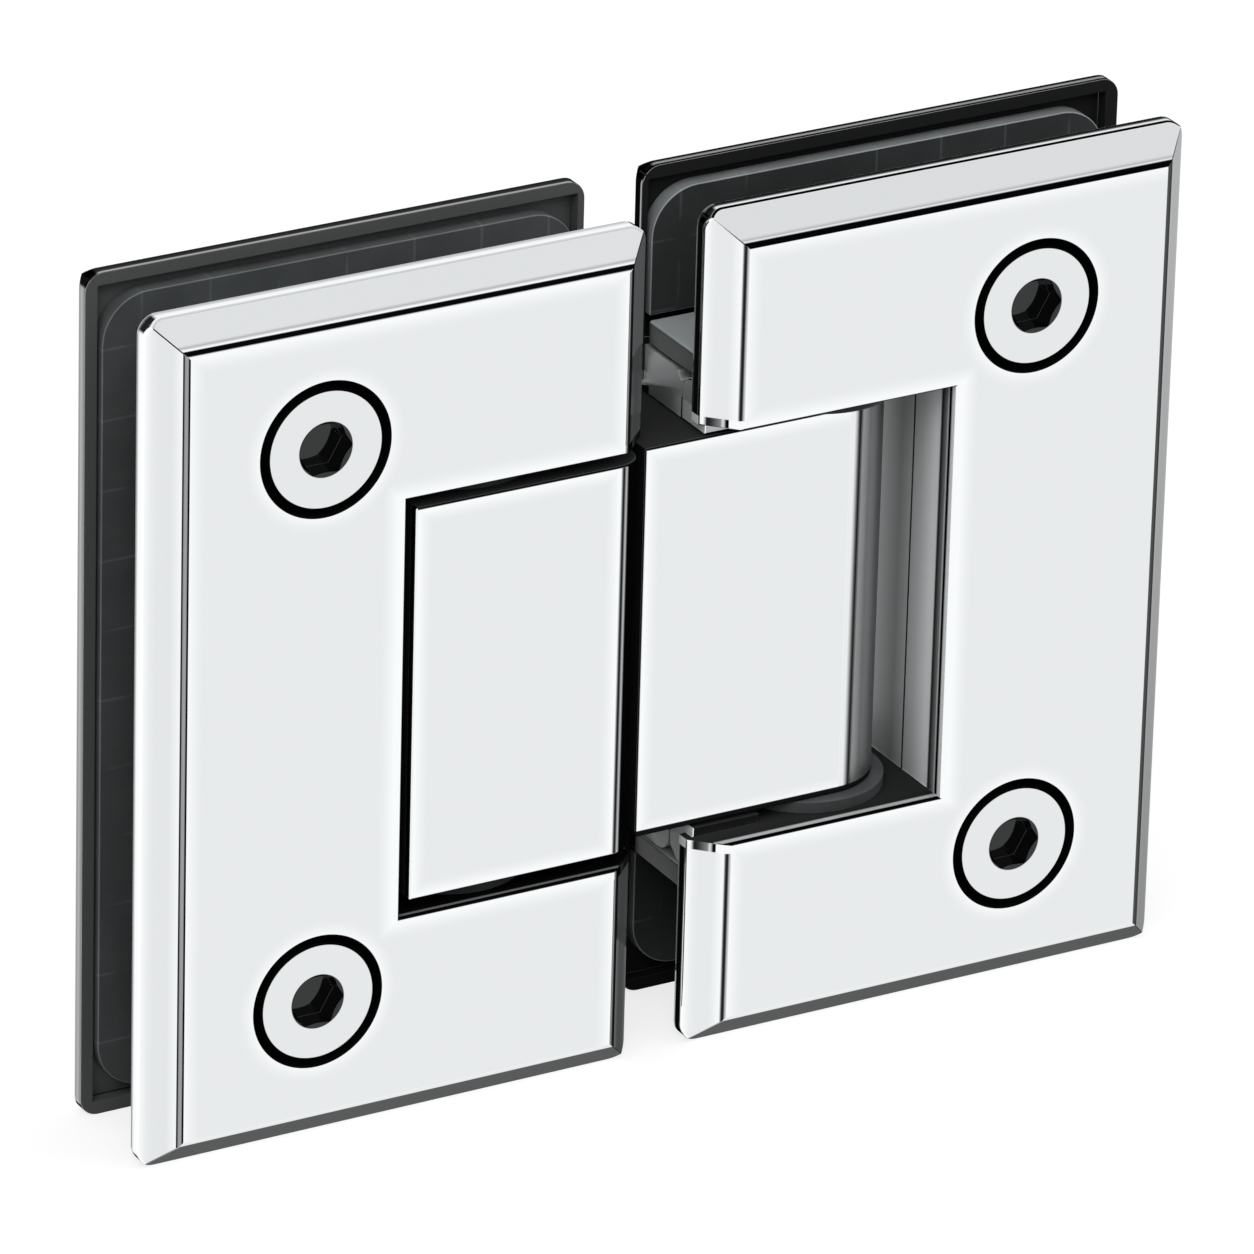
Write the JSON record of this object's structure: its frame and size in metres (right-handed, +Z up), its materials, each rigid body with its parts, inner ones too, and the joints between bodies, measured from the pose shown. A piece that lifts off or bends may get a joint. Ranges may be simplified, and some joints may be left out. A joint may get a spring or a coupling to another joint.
{
  "type": "glass door hinge",
  "caption": "Glass-to-glass door hinge: two bevelled chrome leaves with flat screws clamp glass on soft gaskets, joined by a block and knuckle turning on a vertical pin.",
  "frame": {"origin": "on the surface that the hinge stands on, under the middle of its width and of its thickness", "axes": "+X from the fixed leaf to the door leaf, +Y from the front with the screw heads to the back, +Z up along the pivot"},
  "size_m": [0.1154, 0.0198, 0.09],
  "materials": {
    "chrome": "bright chrome plate on brass, polished to a mirror",
    "screw_chrome": "bright chrome plate on the flat screw heads",
    "pin_steel": "ground stainless steel",
    "spring_steel": "drawn spring wire",
    "gasket": "smoky soft vinyl with a faint moulded grid",
    "liner": "smooth grey soft vinyl",
    "washer": "natural nylon, smooth"
  },
  "bodies": {
    "fixed_side": {"left_front_plate": "chrome", "left_back_plate": "chrome", "left_front_gasket": "gasket", "left_back_gasket": "gasket", "left_notch_liner": "liner", "left_clamp_screws": "screw_chrome", "hinge_body": "chrome", "upper_fixing_pin": "pin_steel", "lower_fixing_pin": "pin_steel", "upper_block_spacer": "washer", "lower_block_spacer": "washer", "upper_detent_spring": "spring_steel", "lower_detent_spring": "spring_steel", "upper_spring_plug": "pin_steel", "lower_spring_plug": "pin_steel"},
    "door_side": {"right_front_plate": "chrome", "right_back_plate": "chrome", "right_front_gasket": "gasket", "right_back_gasket": "gasket", "right_notch_liner": "liner", "right_clamp_screws": "screw_chrome", "pivot_pin": "pin_steel", "upper_pivot_washer": "washer", "lower_pivot_washer": "washer"},
    "upper_plunger": {"upper_detent_plunger": "pin_steel"},
    "lower_plunger": {"lower_detent_plunger": "pin_steel"}
  },
  "joints": [
    {"name": "door_swing", "type": "hinge", "parent": "fixed_side", "child": "door_side", "pos_m": [0.0205, 0, 0.045], "axis": [0, 0, 1], "range_deg": [-90, 90]},
    {"name": "upper_detent_travel", "type": "slide", "parent": "fixed_side", "child": "upper_plunger", "axis": [1, 0, 0], "range_m": [0, 0.0008], "stiffness_N_per_m": 10000, "springref_m": 0.002, "deforming": ["upper_detent_spring"]},
    {"name": "lower_detent_travel", "type": "slide", "parent": "fixed_side", "child": "lower_plunger", "axis": [1, 0, 0], "range_m": [0, 0.0008], "stiffness_N_per_m": 10000, "springref_m": 0.002, "deforming": ["lower_detent_spring"]}
  ],
  "couplings": [
    {"joint": "lower_detent_travel", "follows": "upper_detent_travel", "ratio": 1}
  ]
}
